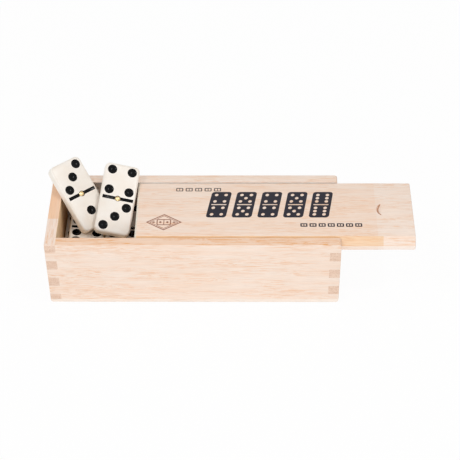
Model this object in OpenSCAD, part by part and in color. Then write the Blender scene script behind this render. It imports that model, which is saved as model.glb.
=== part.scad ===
// Domino storage box: a finger-jointed wooden case whose lid slides in dovetail
// grooves, with the double-six set of 28 tiles that it stores.
// Millimetres. +X is the way the lid slides open, +Y points away from the front,
// +Z is up, and the origin is the centre of the underside.
// The lid stands part open, and two tiles lean on the walls at the open end.

/* [Case] */
// Thickness of the four upright boards
wall = 7.5; // [6.5:0.1:10]
// Thickness of the bottom board
bottom_thickness = 3; // [2:0.1:4]
// Radius that rounds the two ends of the bottom board along the table
bottom_round = 2.5; // [0.5:0.1:3]
// Radius that rounds the top corner of each side at the open end
side_round = 2; // [0.5:0.1:4]

/* [Finger joints] */
// Height of the lowest joint line above the table
first_joint = 8.2; // [6:0.1:10]
// Height of the top finger
top_finger = 6.8; // [5:0.1:9]

/* [Lid] */
// Distance from the closed lid's pulling end to the case's right face
lid_inset = 2.5; // [0:0.1:6]
// Thickness of the lid
lid_thickness = 8.7; // [7:0.1:9]
// Height of the lid's upright edge, below its bevel
lid_edge = 3.4; // [2:0.1:5]
// Distance that the bevel runs in from the upright edge
lid_bevel = 3.8; // [2:0.1:6]
// Chamfer on the lid's closing end
lid_end_chamfer = 1.2; // [0.5:0.1:2.5]
// Distance from the right leaning tile's low corner to the lid
lid_clearance = 6.5; // [6:0.1:30]
// Depth of the groove in each side
groove_depth = 2.9; // [1.5:0.1:4]
// Play between the lid's edge and the groove, on each side
lid_side_play = 0.5; // [0.2:0.1:1]
// Play under the lid
lid_seat_play = 0.2; // [0.1:0.05:0.5]
// Distance from the lid's top to the case's top
lid_recess = 0.1; // [0:0.1:1]

/* [Thumb notch] */
// Length of the notch across the lid
notch_length = 12.1; // [8:0.1:25]
// Width of the notch along the lid
notch_width = 2.6; // [1.5:0.1:6]
// Depth of the notch at its curved wall
notch_depth = 1.5; // [0.5:0.1:3]
// Distance from the lid's pulling end to the notch's straight side
notch_inset = 21.7; // [10:0.1:60]

/* [Tiles] */
// Width of a tile
tile_width = 24.6; // [22:0.1:25]
// Length of a tile
tile_length = 51; // [44:0.1:52]
// Thickness of a tile
tile_thickness = 7.6; // [6.8:0.1:8.4]
// Radius of a tile's corners
tile_corner = 3.8; // [1:0.1:8]
// Radius of a pip where it meets the face
pip_radius = 3.3; // [2:0.05:3.4]
// Depth of a pip
pip_depth = 0.9; // [0.3:0.05:1.5]
// Distance from a tile's centre line to each outer column of pips
pip_column = 7; // [5:0.1:8]
// Distance between rows of pips
pip_row = 7.4; // [6.5:0.1:8]
// Distance from a tile's middle to the middle of each half's pips
half_centre = 13.15; // [12:0.05:14]
// Length of the dividing line
divider_length = 21.6; // [12:0.1:22]
// Width of the dividing line
divider_width = 2.4; // [1:0.1:3]
// Depth of the dividing line
divider_depth = 0.5; // [0.2:0.05:1]

/* [Spinners] */
// Radius of the round head of a spinner
spinner_radius = 2; // [1.3:0.05:2.5]
// Height of a spinner's head above the tile's face
spinner_proud = 0.5; // [0.2:0.05:0.8]
// Radius of a spinner's shank
shank_radius = 0.75; // [0.4:0.05:1.2]
// Length of a spinner's shank below its head
shank_length = 4; // [2:0.1:6]
// Gap between a spinner and the hole and seat in its tile
spinner_gap = 0.05; // [0.02:0.01:0.1]

/* [Stored tiles] */
// Gap between the left end and the first column of tiles
first_gap = 0.6; // [0.3:0.1:1.5]
// Gap between neighbouring columns
column_gap = 1.2; // [0.3:0.1:2.5]
// Gap between the last column and the right end
last_gap = 5; // [1.5:0.1:8]
// Gap between the tiles and each long side
side_gap = 2.9; // [1:0.1:6]
// Gap between the top layer's spinners and the bottom of the lid's grooves
head_gap = 9.9; // [8:0.1:14]
// Gap between a tile and the spinner that it lies on
layer_gap = 0.05; // [0.02:0.01:0.1]
// Gap left at the right end where the top layer has slid to it
upper_gap = 1.1; // [0.3:0.1:1.5]
// Gap left at the back side where the top layer has slid towards it
back_gap = 1.1; // [0.3:0.1:2]
// Angle at which the top tile of the first column lies, left edge up
loose_tile_tilt = 5; // [0:0.5:6]

/* [Leaning tiles] */
// Gap between a leaning tile and each thing that it rests on
rest_gap = 0.3; // [0.2:0.05:0.4]
// Gap between the right leaning tile's square corner and the left one's face
lean_gap = 0.2; // [0.1:0.01:0.3]
// Turn of the left leaning tile seen from above
left_turn = 39.4; // [38.5:0.1:40]
// Roll of the left leaning tile to its right
left_roll = 4.2; // [4:0.1:5]
// Room between the left end and the left leaning tile's foot
left_foot_room = 13.9; // [13.5:0.1:14.5]
// Distance from the back side to the left leaning tile's low corner
left_foot_back = 19.3; // [19:0.1:20]
// Turn of the right leaning tile seen from above
right_turn = -8.5; // [-9.5:0.1:-8]
// Roll of the right leaning tile to its right
right_roll = 16.9; // [16.5:0.1:17.5]
// Distance from the back side to the right leaning tile's low corner
right_foot_back = 37.7; // [37:0.1:38]

/* [Hidden] */
$fn = 64;

// How far a cutting shape runs past the face it cuts
over = 1;

columns = 7;
layers = 4;
layer_pitch = tile_thickness + spinner_proud + layer_gap;
column_pitch = tile_width + column_gap;

// The case is built around the stored tiles
inner_length = first_gap + columns * column_pitch - column_gap + last_gap;
inner_width = tile_length + 2 * side_gap;
case_length = inner_length + 2 * wall;
case_width = inner_width + 2 * wall;
left_inside = -inner_length / 2;
back_inside = inner_width / 2;

groove_floor = bottom_thickness + layers * layer_pitch + head_gap;
groove_half = back_inside + groove_depth;
lid_bottom = groove_floor + lid_seat_play;
lid_top = lid_bottom + lid_thickness;
case_height = lid_top + lid_recess;
lid_half = groove_half - lid_side_play;
bevel_drop = lid_thickness - lid_edge;
groove_shoulder = case_height - groove_depth * bevel_drop / lid_bevel;

// Rows of fingers between the joint lines, counted from the lowest line
last_row = 5;
side_rows = [0, 2, 4];
end_rows = [-1, 1, 3, 5];
finger_height = (case_height - first_joint - top_finger) / last_row;

lid_length = inner_length + wall - lid_inset;

// Columns at the closed end that have given up their top tile
short_columns = 2;
top_layer = layers - 1;
highest_pips = 6;
left_leaner = [3, 1];
right_leaner = [4, 3];

wood = [0.93, 0.81, 0.69];
pale_wood = [0.95, 0.86, 0.77];
ivory = [0.95, 0.92, 0.86];
brass = [0.85, 0.66, 0.30];

// Bottom and top of a row of fingers
function row_low(row) = row < 0 ? bottom_thickness : first_joint + row * finger_height;
function row_top(row) = row == last_row ? case_height : row_low(row + 1);

// The double-six set, highest tiles last, without the two that lean
stored = [for (high = [0:highest_pips]) for (low = [0:high])
    if ([high, low] != left_leaner && [high, low] != right_leaner) [high, low]];

// Places in the case as [column, layer], filled from the closed end
places = [for (column = [columns - 1:-1:0])
    for (layer = [0:(column < columns - short_columns ? top_layer : top_layer - 1)])
        [column, layer]];

// Height of the underside of a layer
function layer_floor(layer) = bottom_thickness + layer * layer_pitch;

// Middle of the underside of a stored tile
function stored_place(place) = [
    left_inside + first_gap + tile_width / 2 + place[0] * column_pitch
        + (place[1] == top_layer ? last_gap - upper_gap : 0),
    place[1] == top_layer ? side_gap - back_gap : 0,
    layer_floor(place[1])];

// Places of the pips in one half, in columns and rows about its middle
function pip_pattern(count) = concat(
    count % 2 == 1 ? [[0, 0]] : [],
    count >= 2 ? [[-1, -1], [1, 1]] : [],
    count >= 4 ? [[-1, 1], [1, -1]] : [],
    count == 6 ? [[-1, 0], [1, 0]] : []);

// Radius of the ball whose cap has this base radius and height
function cap_ball(radius, height) = (radius * radius + height * height) / (2 * height);

// Turns a vector about Z
function turned(v, angle) = [
    v[0] * cos(angle) - v[1] * sin(angle), v[0] * sin(angle) + v[1] * cos(angle), v[2]];

// A tile's own direction as it lies in the case: roll, then slope, then turn
function aimed(v, turn, slope, roll) =
    let (x = v[0] * cos(roll) + v[2] * sin(roll),
        z = v[2] * cos(roll) - v[0] * sin(roll))
    turned([x, v[1] * cos(slope) - z * sin(slope), v[1] * sin(slope) + z * cos(slope)],
        turn);

// Slope at which a tile's underside runs from a point just above its low corner
// to just above the wall's edge
function lean_slope(foot, edge, turn, roll) =
    let (reach = turned(edge - foot, -turn),
        drop = -(rest_gap + reach[0] * sin(roll)) / cos(roll))
    atan2(reach[2], reach[1]) - asin(drop / norm([reach[1], reach[2]]));

// Height between a tile's square low corner and the lowest point of its rounded one
function corner_relief(slope, roll) =
    let (along = sin(slope), across = sin(roll) * cos(slope))
    tile_corner * (along + across - norm([along, across]));

// Foot, turn, slope and roll of a leaning tile whose low corner is above floor_point
function lean(floor_point, edge, turn, roll) =
    let (touch = floor_point + [0, 0, rest_gap],
        foot = touch - [0, 0, corner_relief(lean_slope(touch, edge, turn, roll), roll)])
    [foot, turn, lean_slope(foot, edge, turn, roll), roll];

stack_top = layer_floor(top_layer) + tile_thickness;
loose_tile_right = stored_place([0, top_layer])[0] + tile_width / 2;

// The left leaning tile rests on the left end where its own left edge crosses it
left_foot_x = left_inside + left_foot_room
    + tile_width * cos(left_turn) * cos(left_roll);
left_floor = [left_foot_x, back_inside - left_foot_back, stack_top
    + max(0, loose_tile_right - left_foot_x) * tan(loose_tile_tilt)];
function left_edge(slope) =
    let (corner = left_floor - tile_width * aimed([1, 0, 0], left_turn, slope, left_roll))
    [left_inside, corner[1] + (corner[0] - left_inside) / tan(left_turn), case_height];
first_slope = lean_slope(left_floor, left_edge(left_turn), left_turn, left_roll);
left_lean = lean(left_floor, left_edge(first_slope), left_turn, left_roll);

// The right leaning tile rests on the back side where its right edge crosses it.
// It is found at X = 0, and then moved until its left corner meets the left tile's face.
right_floor = [0, back_inside - right_foot_back, stack_top];
right_edge = [right_foot_back * tan(-right_turn), back_inside, case_height];
right_pose = lean(right_floor, right_edge, right_turn, right_roll);
right_corner = right_pose[0]
    - tile_width * aimed([1, 0, 0], right_turn, right_pose[2], right_roll);
left_face = aimed([0, 0, 1], left_turn, left_lean[2], left_roll);
left_face_point = left_lean[0] + tile_thickness * left_face;
right_foot_x = (lean_gap - (right_corner - left_face_point) * left_face) / left_face[0];
right_lean = [right_pose[0] + [right_foot_x, 0, 0], right_turn, right_pose[2], right_roll];

lid_left = right_foot_x + lid_clearance;
lid_right = lid_left + lid_length;

// ---- Case ----

// Outline of one long side seen from the front, with its fingers at both ends
module side_outline() {
    difference() {
        translate([-case_length / 2, bottom_thickness])
            square([case_length, case_height - bottom_thickness]);
        for (row = end_rows)
            translate([-case_length / 2 - over, row_low(row)])
                square([wall + over, row_top(row) - row_low(row) + (row == last_row ? over : 0)]);
        for (row = side_rows)
            translate([case_length / 2 - wall, row_low(row)])
                square([wall + over, finger_height]);
        difference() {
            translate([case_length / 2 - side_round, case_height - side_round])
                square(side_round + over);
            translate([case_length / 2 - side_round, case_height - side_round])
                circle(r = side_round);
        }
    }
}

// The space that both grooves and the lid between them take, seen from the end
module groove_profile() {
    for (side = [-1, 1])
        polygon([[side * (back_inside - over), groove_floor],
            [side * groove_half, groove_floor],
            [side * groove_half, groove_shoulder],
            [side * back_inside, case_height],
            [side * back_inside, case_height + over],
            [side * (back_inside - over), case_height + over]]);
}

// Both grooves, from the left end's inner face out through the open end
module grooves() {
    translate([left_inside, 0, 0])
        rotate([90, 0, 90])
            linear_extrude(case_length)
                groove_profile();
}

// A long side, its inner face at the given distance from the middle
module long_side(inner_face) {
    difference() {
        translate([0, inner_face + (inner_face > 0 ? wall : 0), 0])
            rotate([90, 0, 0])
                linear_extrude(wall)
                    side_outline();
        grooves();
    }
}

module front_side() {
    color(wood) long_side(-back_inside);
}

module back_side() {
    color(wood) long_side(back_inside);
}

// Pins that reach from an end board through both sides, in the given rows
module end_pins(left_face, rows) {
    for (row = rows)
        translate([left_face, -case_width / 2, row_low(row)])
            cube([wall, case_width, row_top(row) - row_low(row)]);
}

module left_end() {
    color(wood) {
        translate([-case_length / 2, -back_inside, bottom_thickness])
            cube([wall, inner_width, case_height - bottom_thickness]);
        end_pins(-case_length / 2, end_rows);
    }
}

// The right end stops below the lid, which slides out over it
module right_end() {
    clear_height = groove_floor - bottom_thickness;
    color(wood)
        difference() {
            union() {
                translate([case_length / 2 - wall, -back_inside, bottom_thickness])
                    cube([wall, inner_width, clear_height]);
                end_pins(case_length / 2 - wall, side_rows);
            }
            translate([0, -groove_half, groove_floor])
                cube([case_length, 2 * groove_half, case_height]);
        }
}

module bottom_board() {
    color(pale_wood)
        translate([0, case_width / 2, 0])
            rotate([90, 0, 0])
                linear_extrude(case_width) {
                    translate([-case_length / 2, bottom_round])
                        square([case_length, bottom_thickness - bottom_round]);
                    translate([-case_length / 2 + bottom_round, 0])
                        square([case_length - 2 * bottom_round, bottom_thickness]);
                    for (end = [-1, 1])
                        translate([end * (case_length / 2 - bottom_round), bottom_round])
                            intersection() {
                                circle(r = bottom_round);
                                translate([-bottom_round, -bottom_round])
                                    square([2 * bottom_round, bottom_round]);
                            }
                }
}

// ---- Lid ----

// Cross-section of the lid: upright edges with a bevel above them
module lid_profile() {
    polygon([[-lid_half, lid_bottom], [lid_half, lid_bottom],
        [lid_half, lid_bottom + lid_edge], [lid_half - lid_bevel, lid_top],
        [-lid_half + lid_bevel, lid_top], [-lid_half, lid_bottom + lid_edge]]);
}

// Slanting round cut whose floor rises to the surface towards the pulling end
module thumb_notch() {
    slant = atan2(notch_depth, notch_width);
    run = norm([notch_depth, notch_width]);
    cutter = (notch_length * notch_length / 4 + run * run) / (2 * run);
    translate([lid_right - notch_inset, 0, lid_top])
        rotate([0, -slant, 0])
            translate([cutter - run, 0, 0])
                cylinder(r = cutter, h = notch_depth + lid_thickness);
}

module lid() {
    color(pale_wood)
        difference() {
            translate([lid_left, 0, 0])
                rotate([90, 0, 90])
                    linear_extrude(lid_length)
                        lid_profile();
            translate([lid_left, 0, lid_top])
                rotate([0, 45, 0])
                    cube([lid_end_chamfer * sqrt(2), case_width, lid_end_chamfer * sqrt(2)],
                        center = true);
            thumb_notch();
        }
}

// ---- Tiles ----

module rounded_rectangle(width, length, radius) {
    square([width - 2 * radius, length], center = true);
    square([width, length - 2 * radius], center = true);
    for (x = [-1, 1]) for (y = [-1, 1])
        translate([x * (width / 2 - radius), y * (length / 2 - radius)])
            circle(r = radius);
}

// Hollows of one half's pips, on the side of the divider that half names, 1 or -1
module pip_hollows(count, half) {
    ball = cap_ball(pip_radius, pip_depth);
    for (spot = pip_pattern(count))
        translate([spot[0] * pip_column, half * half_centre + spot[1] * pip_row,
            tile_thickness + ball - pip_depth])
            sphere(r = ball);
}

// A tile on its back, the origin in the middle of its back, the higher half at +Y
module domino(high, low) {
    groove_z = tile_thickness - divider_depth;
    color(ivory)
        difference() {
            linear_extrude(tile_thickness)
                rounded_rectangle(tile_width, tile_length, tile_corner);
            pip_hollows(high, 1);
            pip_hollows(low, -1);
            translate([-divider_length / 2, -divider_width / 2, groove_z])
                cube([divider_length, divider_width, divider_depth + over]);
            translate([0, 0, groove_z])
                cylinder(r = spinner_radius + spinner_gap, h = divider_depth + over);
            translate([0, 0, groove_z - shank_length - spinner_gap])
                cylinder(r = shank_radius + spinner_gap, h = shank_length + over);
        }
}

// A spinner in the place it has in a tile on its back
module spinner() {
    head = divider_depth + spinner_proud;
    ball = cap_ball(spinner_radius, head);
    color(brass)
        translate([0, 0, tile_thickness - divider_depth]) {
            intersection() {
                translate([0, 0, head - ball])
                    sphere(r = ball);
                cylinder(r = spinner_radius, h = head);
            }
            translate([0, 0, -shank_length])
                cylinder(r = shank_radius, h = shank_length);
        }
}

// Puts a tile or spinner where stored tile number i lies, the higher half to the front
module store(i) {
    tilt = places[i] == [0, top_layer] ? loose_tile_tilt : 0;
    translate(stored_place(places[i]) + [tile_width / 2, 0, 0])
        rotate([0, tilt, 0])
            translate([-tile_width / 2, 0, 0])
                rotate([0, 0, 180])
                    children();
}

// Puts a tile or spinner where a leaning tile is
module leaning(pose) {
    translate(pose[0])
        rotate([0, 0, pose[1]])
            rotate([pose[2], 0, 0])
                rotate([0, pose[3], 0])
                    translate([-tile_width / 2, tile_length / 2, 0])
                        children();
}

// Any tile of the set in its place
module tile(high, low) {
    if ([high, low] == left_leaner) leaning(left_lean) domino(high, low);
    else if ([high, low] == right_leaner) leaning(right_lean) domino(high, low);
    else store(search([[high, low]], stored)[0]) domino(high, low);
}

module stored_spinners() {
    for (i = [0:len(stored) - 1])
        store(i)
            spinner();
}

bottom_board();
front_side();
back_side();
left_end();
right_end();
lid();
tile(0, 0);  // tile_0_0
tile(1, 0);  // tile_1_0
tile(1, 1);  // tile_1_1
tile(2, 0);  // tile_2_0
tile(2, 1);  // tile_2_1
tile(2, 2);  // tile_2_2
tile(3, 0);  // tile_3_0
tile(3, 1);  // tile_3_1
tile(3, 2);  // tile_3_2
tile(3, 3);  // tile_3_3
tile(4, 0);  // tile_4_0
tile(4, 1);  // tile_4_1
tile(4, 2);  // tile_4_2
tile(4, 3);  // tile_4_3
tile(4, 4);  // tile_4_4
tile(5, 0);  // tile_5_0
tile(5, 1);  // tile_5_1
tile(5, 2);  // tile_5_2
tile(5, 3);  // tile_5_3
tile(5, 4);  // tile_5_4
tile(5, 5);  // tile_5_5
tile(6, 0);  // tile_6_0
tile(6, 1);  // tile_6_1
tile(6, 2);  // tile_6_2
tile(6, 3);  // tile_6_3
tile(6, 4);  // tile_6_4
tile(6, 5);  // tile_6_5
tile(6, 6);  // tile_6_6
stored_spinners();
leaning(left_lean) spinner();  // spinner_3_1
leaning(right_lean) spinner();  // spinner_4_3
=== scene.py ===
"""Domino storage box: a finger-jointed wooden case, its sliding lid and its 28 tiles.

Sizes are in millimetres and become metres when a mesh is made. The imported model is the
frame: +X is the way the lid opens, +Y points away from the front, +Z is up, and the
origin is the centre of the underside.
"""
import logging
import math
from dataclasses import dataclass, field
from enum import Enum
from typing import Any, Callable, Mapping, Optional, Sequence, Union

import bmesh
import bpy
from mathutils import Matrix, Vector

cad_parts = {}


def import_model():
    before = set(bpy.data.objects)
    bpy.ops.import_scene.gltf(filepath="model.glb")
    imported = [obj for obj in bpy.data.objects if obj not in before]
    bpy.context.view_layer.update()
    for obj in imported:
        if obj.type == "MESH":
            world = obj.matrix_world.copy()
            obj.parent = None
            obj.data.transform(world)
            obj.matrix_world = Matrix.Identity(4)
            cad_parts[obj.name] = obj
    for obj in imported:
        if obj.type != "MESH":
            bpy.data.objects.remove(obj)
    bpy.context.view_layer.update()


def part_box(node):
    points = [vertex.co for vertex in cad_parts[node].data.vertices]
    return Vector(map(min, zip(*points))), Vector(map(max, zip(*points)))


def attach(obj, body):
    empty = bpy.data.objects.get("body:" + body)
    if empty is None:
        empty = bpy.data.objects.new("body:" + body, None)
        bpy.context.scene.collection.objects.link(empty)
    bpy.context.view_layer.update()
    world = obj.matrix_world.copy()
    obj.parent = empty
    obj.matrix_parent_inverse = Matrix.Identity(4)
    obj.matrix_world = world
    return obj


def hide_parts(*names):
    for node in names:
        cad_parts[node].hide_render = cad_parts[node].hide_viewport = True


LOG = logging.getLogger("domino_box")
MM = 0.001
# A place that lies past every piece
NOWHERE = 1000.0
# How squarely the grain has to meet a face that shows end grain
END_GRAIN = 0.75
# The corner radius of a fine printed line, and where its ink ends and is full
LINE_CORNER = 0.1
LINE_RIM = (0.08, -0.08)
# Places nearer to each other than this count as the same
NEAR = 0.1
# How far pieces that are joined or cut run into each other
LAP = 0.01
Piece = bpy.types.Object
Pair = tuple[float, float]
Triple = tuple[float, float, float]
Number = Union[float, "Value"]
# A screen colour of 0 to 255, or one that a tree makes
Colour = Union[Triple, "Value"]
Test = Callable[[Vector], bool]
Entries = Optional[Mapping[Any, Any]]


def srgb(red: float, green: float, blue: float) -> tuple[float, float, float, float]:
    """Turns a screen colour into the linear colour that a shader takes.

    Args:
        red: red channel, 0 to 255.
        green: green channel, 0 to 255.
        blue: blue channel, 0 to 255.

    Returns:
        The linear colour with full alpha.
    """
    def linear(channel: float) -> float:
        """One channel, from the screen's curve to linear."""
        share = channel / 255
        return share / 12.92 if share <= 0.04045 else ((share + 0.055) / 1.055) ** 2.4
    return linear(red), linear(green), linear(blue), 1.0


# ---- Shader maths ----


class Value:
    """A number or colour in a material, with Python's arithmetic."""

    def __init__(self, graph: "Graph", socket: bpy.types.NodeSocket) -> None:
        """Wraps an output socket of the graph."""
        self.graph = graph
        self.socket = socket

    def maths(self, operation: str, *others: Number, turned: bool = False) -> "Value":
        """Adds a Math node for one operation.

        Args:
            operation: the Math node's operation.
            others: the other operands.
            turned: puts this value last.

        Returns:
            The result of the operation.
        """
        operands = [*others, self] if turned else [self, *others]
        return self.graph.value("Math", 0, {"operation": operation},
                                dict(enumerate(operands)))

    def __add__(self, other: Number) -> "Value":
        """self + other."""
        return self.maths("ADD", other)

    __radd__ = __add__

    def __sub__(self, other: Number) -> "Value":
        """self - other."""
        return self.maths("SUBTRACT", other)

    def __rsub__(self, other: Number) -> "Value":
        """other - self."""
        return self.maths("SUBTRACT", other, turned=True)

    def __mul__(self, other: Number) -> "Value":
        """self * other."""
        return self.maths("MULTIPLY", other)

    def __truediv__(self, other: Number) -> "Value":
        """self / other."""
        return self.maths("DIVIDE", other)

    def __rtruediv__(self, other: Number) -> "Value":
        """other / self."""
        return self.maths("DIVIDE", other, turned=True)

    def __abs__(self) -> "Value":
        """The size of the value without its sign."""
        return self.maths("ABSOLUTE")

    def least(self, other: Number) -> "Value":
        """The smaller of the two."""
        return self.maths("MINIMUM", other)

    def most(self, other: Number) -> "Value":
        """The larger of the two."""
        return self.maths("MAXIMUM", other)

    def over(self, limit: Number) -> "Value":
        """1 where the value is over the limit, otherwise 0."""
        return self.maths("GREATER_THAN", limit)

    def length_with(self, other: "Value") -> "Value":
        """The length of the flat vector that the two values make."""
        return (self * self + other * other).maths("SQRT")

    def ease(self, low: float, high: float) -> "Value":
        """Rises smoothly from 0 at low to 1 at high, or falls where low is the larger."""
        return self.graph.value(
            "MapRange", "Result", {"interpolation_type": "SMOOTHSTEP"},
            {"Value": self, "From Min": low, "From Max": high})


class Graph:
    """The node tree of one material, light or world."""

    def __init__(self, tree: bpy.types.NodeTree) -> None:
        """Empties the tree and takes it over."""
        self.tree = tree
        tree.nodes.clear()

    def node(self, kind: str, settings: Entries = None,
             values: Entries = None) -> bpy.types.Node:
        """Adds one node.

        Args:
            kind: the node's type name, without the ShaderNode that it starts with.
            settings: its settings, by their names.
            values: what goes into its sockets, numbers or links.

        Returns:
            The new node.
        """
        node = self.tree.nodes.new("ShaderNode" + kind)
        for key, value in (settings or {}).items():
            setattr(node, key, value)
        for key, value in (values or {}).items():
            socket = node.inputs[key]
            if isinstance(value, Value):
                self.tree.links.new(value.socket, socket)
            else:
                socket.default_value = value
        return node

    def value(self, kind: str, output: Union[int, str], settings: Entries = None,
              values: Entries = None) -> Value:
        """Adds one node and returns one of its outputs."""
        return Value(self, self.node(kind, settings, values).outputs[output])

    def place(self) -> tuple[Value, Value, Value]:
        """The point on the piece.

        Returns:
            Its X, Y and Z in millimetres.
        """
        point = self.value("TexCoord", "Object")
        scaled = self.value("VectorMath", 0, {"operation": "SCALE"},
                            {0: point, "Scale": 1 / MM})
        parts = self.node("SeparateXYZ", None, {0: scaled})
        return tuple(Value(self, socket) for socket in parts.outputs)

    def noise(self, place: Sequence[Number], detail: float = 2.0,
              roughness: float = 0.5) -> Value:
        """Cloudy noise, about 0.5 on average, with features about one unit wide."""
        point = self.value("CombineXYZ", 0, None, dict(enumerate(place)))
        return self.value("TexNoise", 0, {"noise_dimensions": "3D"},
                          {"Vector": point, "Scale": 1.0, "Detail": detail,
                           "Roughness": roughness})

    def blend(self, share: Number, first: Colour, second: Colour,
              mode: str = "MIX") -> Value:
        """Mixes two colours; share 0 gives the first."""
        pair = [srgb(*item) if isinstance(item, tuple) else item for item in (first, second)]
        return self.value("Mix", 2, {"data_type": "RGBA", "blend_type": mode},
                          {0: share, 6: pair[0], 7: pair[1]})

    def bump(self, height: Value, distance: float, strength: float = 1.0) -> Value:
        """The surface normal with a height pattern, its distance in millimetres."""
        return self.value("Bump", 0, None,
                          {"Strength": strength, "Distance": distance * MM,
                           "Height": height})

    def surface(self, **values: Any) -> None:
        """Ends the tree in a Principled surface with these socket values."""
        shader = self.value("BsdfPrincipled", 0, None,
                            {key.replace("_", " "): item for key, item in values.items()})
        self.node("OutputMaterial", None, {"Surface": shader})


# ---- Finishes ----


class Axis(Enum):
    """The direction that a board's grain runs in."""

    X = 0
    Y = 1


@dataclass(frozen=True)
class Cloud:
    """One pattern of cloudy noise, with its feature sizes along three directions."""

    size: Triple
    detail: float = 2.0
    roughness: float = 0.5
    shift: Triple = (0.0, 0.0, 0.0)

    def draw(self, graph: Graph, place: Sequence[Value]) -> Value:
        """The noise at a point, about 0.5 on average."""
        point = [value / size + shift if shift else value / size
                 for value, size, shift in zip(place, self.size, self.shift)]
        return graph.noise(point, self.detail, self.roughness)


@dataclass(frozen=True)
class Finish:
    """What all finishes share: a name, and a tree that each paints its own way."""

    name: str

    def paint(self, graph: Graph) -> None:
        """Fills the material's tree."""
        raise NotImplementedError

    def material(self) -> bpy.types.Material:
        """The finish as a new material."""
        return new_material(self.name, self.paint)


@dataclass(frozen=True)
class Wood(Finish):
    """Pale close-grained wood with thin warm streaks along the grain."""

    axis: Axis
    pale: Triple = (252, 234, 220)
    warm: Triple = (249, 215, 189)
    streak: Triple = (238, 176, 120)
    end_pale: Triple = (242, 215, 195)
    end_warm: Triple = (228, 193, 169)
    end_pore: Triple = (196, 156, 130)
    # Sets the boards apart, so that no two show the same grain
    offset: float = 0.0
    # Shares of the warm tone and of the streaks, and what a bold face adds to them
    warmth: float = 0.0
    streaks: float = 0.62
    bold_warmth: float = 0.8
    bold_streaks: float = 1.2
    # (place along the grain, share of warm tone past it) of the glued lengths
    lengths: tuple[Pair, ...] = ()
    # The height past which a top face is warmer and bolder, and how far out it is so
    bold_from: float = NOWHERE
    bold_to: float = 35.42
    # Place along X past which a board's faces take a warmer orange tone: painted warm bounce
    # light inside the well
    bounce_from: float = NOWHERE
    bounce_tone: Triple = (255, 222, 174)
    bounce_share: float = 0.8
    # The height past which a groove's faces take a paler tone, painted light in the
    # narrow gap, and where those faces end in X, Y and Z
    groove_from: float = NOWHERE
    groove_to: Triple = (97.9, 31.4, 54.45)
    groove_light: Triple = (255, 250, 244)
    groove_light_share: float = 0.85
    # Patterns, sized along the grain and across it
    drift: Cloud = Cloud((60, 14, 14))
    broad: Cloud = Cloud((60, 4.5, 4.5), 3.0)
    dash: Cloud = Cloud((9, 0.42, 0.42), 2.0, 0.55, (31, 0, 0))
    line: Cloud = Cloud((26, 0.46, 0.46), 2.0, 0.55, (7, 0, 0))
    group: Cloud = Cloud((40, 6, 6), shift=(0, 11, 0))
    fibre: Cloud = Cloud((9, 0.5, 0.5), 3.0, 0.6)
    pores: Cloud = Cloud((0.6, 0.6, 0.6), 1.0)
    rings: Cloud = Cloud((50, 9, 1.6))
    # How far the drift pushes the grain, and where the patterns set in and are full
    wander: Pair = (7.0, 6.0)
    broad_step: Pair = (0.3, 0.7)
    mark_step: Pair = (0.54, 0.66)
    dash_group: Pair = (0.38, 0.62)
    line_group: Pair = (0.3, 0.56)
    fibre_step: Pair = (0.25, 0.75)
    pore_step: Pair = (0.35, 0.75)
    # The share of each pattern
    broad_share: float = 0.38
    line_share: float = 0.9
    fibre_share: float = 0.08
    pore_share: float = 0.5
    ring_share: float = 0.6
    # Half the width of the joint between two glued lengths
    glue: float = 0.15
    # The satin surface: its roughness, what the fibre adds to it, its gloss, and the
    # height and strength of its relief, and then the same for end grain
    roughness: float = 0.5
    uneven: float = 0.12
    gloss: float = 0.3
    relief: Pair = (0.06, 0.6)
    end_roughness: float = 0.62
    end_relief: Pair = (0.03, 0.4)

    def fields(self, graph: Graph) -> tuple[Value, Value, Value]:
        """Places along and across the grain, which wander across it.

        Args:
            graph: the tree to work in.

        Returns:
            The place along the grain and the two places across it.
        """
        place = graph.place()
        along = place[self.axis.value] + self.offset
        side, rise = [place[i] + self.offset for i in range(3) if i != self.axis.value]
        drift = self.drift.draw(graph, (along, side, rise)) - 0.5
        return along, side + drift * self.wander[0], rise + drift * self.wander[1]

    def bold(self, graph: Graph) -> Value:
        """1 on a board's top face, out to its arris, where the wood is bolder."""
        x, y, z = graph.place()
        return z.over(self.bold_from) * (self.bold_to - abs(y)).over(0.0)

    def tone(self, graph: Graph, fields: Sequence[Value]) -> Value:
        """How warm the wood is, with a step at each glued length.

        Args:
            graph: the tree to work in.
            fields: the places along and across the grain.

        Returns:
            The share of the warm tone, 0 to 1.
        """
        broad = self.broad.draw(graph, fields)
        tone = (broad.ease(*self.broad_step) * self.broad_share + self.warmth
                + self.bold(graph) * self.bold_warmth)
        along = fields[0] - self.offset
        for limit, share in self.lengths:
            tone = tone + along.ease(limit - self.glue, limit + self.glue) * share
        return tone.least(1.0).most(0.0)

    def marks(self, graph: Graph, fields: Sequence[Value]) -> Value:
        """Short dashes and long thin streaks, gathered in loose groups.

        Args:
            graph: the tree to work in.
            fields: the places along and across the grain.

        Returns:
            The share of the streaks' tone, 0 to 1.
        """
        dash = self.dash.draw(graph, fields)
        line = self.line.draw(graph, fields)
        group = self.group.draw(graph, fields)
        short = dash.ease(*self.mark_step) * group.ease(*self.dash_group)
        long = line.ease(*self.mark_step) * group.ease(*self.line_group)
        strength = self.bold(graph) * self.bold_streaks + self.streaks
        return (short.most(long * self.line_share) * strength).least(1.0)

    def tint(self, graph: Graph, base: Value) -> Value:
        """Paints warm bounce light on the well's inner faces and paler painted light in a
        groove.

        Args:
            graph: the tree to work in.
            base: the ground tone elsewhere.

        Returns:
            The ground tone that goes under the streaks.
        """
        x, y, z = graph.place()
        # Painted warm bounce light: a warmer orange on the well's inner faces
        base = graph.blend(x.over(self.bounce_from) * self.bounce_share, base, self.bounce_tone)
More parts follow.
